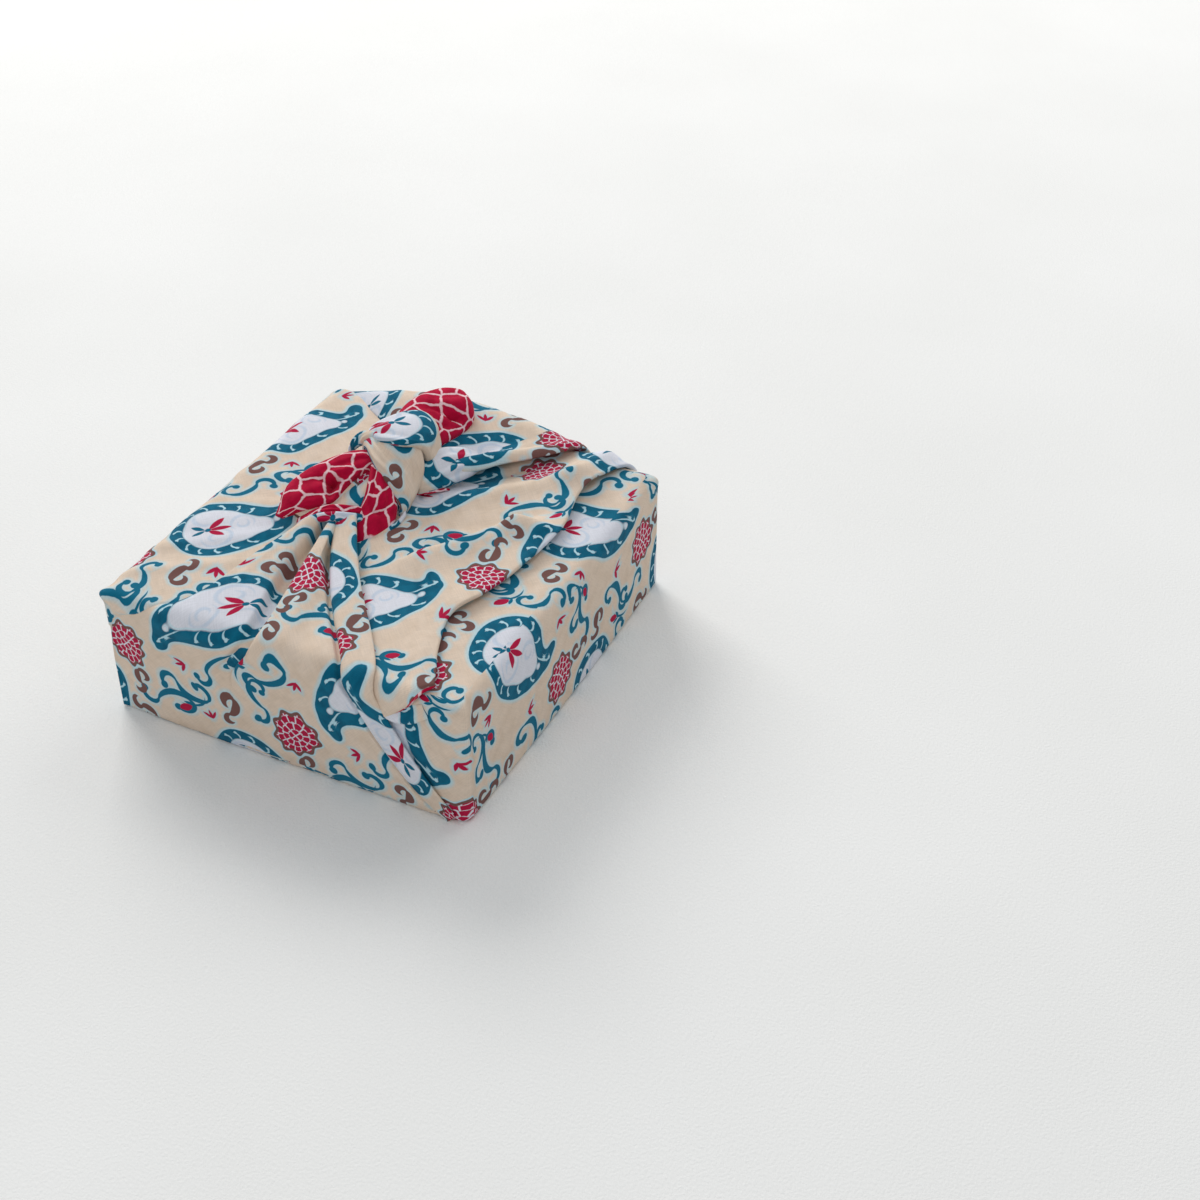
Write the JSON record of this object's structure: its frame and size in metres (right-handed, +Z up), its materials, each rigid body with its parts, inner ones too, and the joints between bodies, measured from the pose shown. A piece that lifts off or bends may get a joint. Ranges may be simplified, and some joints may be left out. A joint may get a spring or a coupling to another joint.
{
  "type": "furoshiki wrap",
  "caption": "Square cotton cloth folded round a shallow gift and tied on top in a square knot with two short ears, flat underneath.",
  "frame": {"origin": "middle of the body's footprint on the surface that it stands on", "axes": "+Z up; -X is the side that the upper flap comes over, +X the side where the lower layer shows, -Y the side gathered into the near end of the knot, +Y the side gathered into its far end"},
  "size_m": [0.1628, 0.1843, 0.0847],
  "materials": {
    "printed_cotton": "matt plain-weave cotton, printed on the face, crimson on the reverse"
  },
  "bodies": {
    "root": {"furoshiki_wrap": "printed_cotton"}
  },
  "joints": []
}
